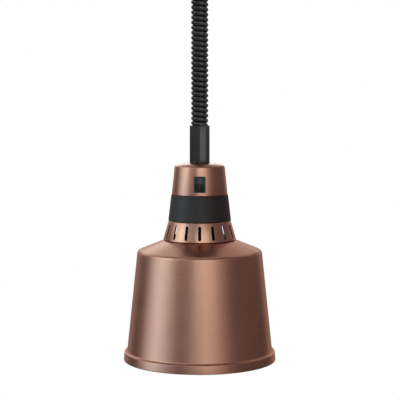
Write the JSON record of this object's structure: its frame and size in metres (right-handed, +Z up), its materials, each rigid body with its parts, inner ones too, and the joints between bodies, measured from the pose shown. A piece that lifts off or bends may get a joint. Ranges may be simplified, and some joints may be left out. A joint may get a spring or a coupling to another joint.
{
  "type": "pendant heat lamp",
  "caption": "Copper-finished pull-down pendant heat lamp with a conical shade, slotted vent ring, rocker switch, coiled cord and a ceiling fitting with a spring reel.",
  "frame": {"origin": "centre of the ceiling plate's flat top face, where the fitting meets the ceiling", "axes": "+Z up out of the ceiling face, the lamp hangs down along -Z; -Y is the side with the rocker switch; +X to the right of someone facing the switch"},
  "size_m": [0.1898, 0.1898, 0.545],
  "materials": {
    "copper_satin": "spun aluminium with a satin copper finish",
    "copper_light": "die cast aluminium with a brighter copper finish",
    "black_satin": "satin black tube",
    "black_plastic": "black moulded plastic",
    "black_rubber": "soft matt black rubber",
    "cord_black": "black coiled cord sheath",
    "zinc_steel": "zinc plated steel",
    "black_steel": "black coated steel",
    "spring_steel": "bright spring and rope steel",
    "nickel_cap": "pressed screw cap",
    "brass": "bare brass",
    "porcelain": "glazed white porcelain",
    "nylon_white": "natural white nylon",
    "lead_brown": "brown insulation",
    "lead_blue": "blue insulation",
    "lead_green": "green and yellow insulation",
    "bulb_glass": "blown reflector glass with a frosted face"
  },
  "bodies": {
    "ceiling_fitting": {"ceiling_plate": "zinc_steel", "supply_grommet": "black_rubber", "canopy_cup": "copper_satin", "canopy_screw_1": "zinc_steel", "canopy_screw_2": "zinc_steel", "canopy_screw_3": "zinc_steel", "reel_bracket": "zinc_steel", "reel_shaft": "zinc_steel", "shaft_clip_1": "zinc_steel", "shaft_clip_2": "zinc_steel", "upper_sleeve": "black_satin", "upper_sleeve_nut": "zinc_steel", "wire_eyelet": "nylon_white", "terminal_block": "nylon_white", "canopy_live_wire": "lead_brown", "canopy_neutral_wire": "lead_blue", "canopy_earth_wire": "lead_green", "cord_tail_upper": "cord_black", "coiled_cord": "cord_black", "suspension_wire": "spring_steel"},
    "reel": {"reel_drum": "nylon_white", "spring_cover": "zinc_steel", "main_spring": "spring_steel", "wound_wire": "spring_steel"},
    "lamp_head": {"sleeve_tube": "black_satin", "sleeve_nut": "zinc_steel", "cord_gland": "nylon_white", "wire_ferrule": "zinc_steel", "cord_tail_lower": "cord_black", "cap_housing": "copper_satin", "grip_band": "black_rubber", "vent_ring": "copper_light", "switch_body": "black_plastic", "switch_terminal_1": "brass", "switch_terminal_2": "brass", "lampholder_bracket": "black_steel", "cap_screw_1": "zinc_steel", "cap_screw_2": "zinc_steel", "cap_screw_3": "zinc_steel", "lampholder_body": "porcelain", "lampholder_shell": "brass", "centre_contact": "brass", "lampholder_screw_1": "zinc_steel", "lampholder_screw_2": "zinc_steel", "earth_screw": "brass", "live_wire": "lead_brown", "switched_wire": "lead_brown", "neutral_wire": "lead_blue", "earth_wire": "lead_green", "shade": "copper_satin", "shade_ring": "zinc_steel"},
    "rocker": {"switch_rocker": "black_plastic"},
    "bulb": {"bulb_glass": "bulb_glass", "bulb_cap": "nickel_cap", "bulb_insulator": "black_plastic", "bulb_contact": "zinc_steel", "filament": "zinc_steel"}
  },
  "joints": [
    {"name": "rise_fall", "type": "slide", "parent": "ceiling_fitting", "child": "lamp_head", "axis": [0, 0, -1], "range_m": [0, 0.45], "deforming": ["coiled_cord", "suspension_wire"]},
    {"name": "reel_spin", "type": "hinge", "parent": "ceiling_fitting", "child": "reel", "pos_m": [0.01875, 0, -0.03], "axis": [0, -1, 0], "range_deg": [0, 1400]},
    {"name": "switch_tilt", "type": "hinge", "parent": "lamp_head", "child": "rocker", "pos_m": [0, -0.03298, -0.32392], "axis": [1, 0, 0], "range_deg": [0, 24]},
    {"name": "bulb_removal", "type": "slide", "parent": "lamp_head", "child": "bulb", "axis": [0, 0, -1], "range_m": [0, 0.027]}
  ],
  "couplings": [
    {"joint": "reel_spin", "follows": "rise_fall", "rad_per_m": 53.333}
  ]
}
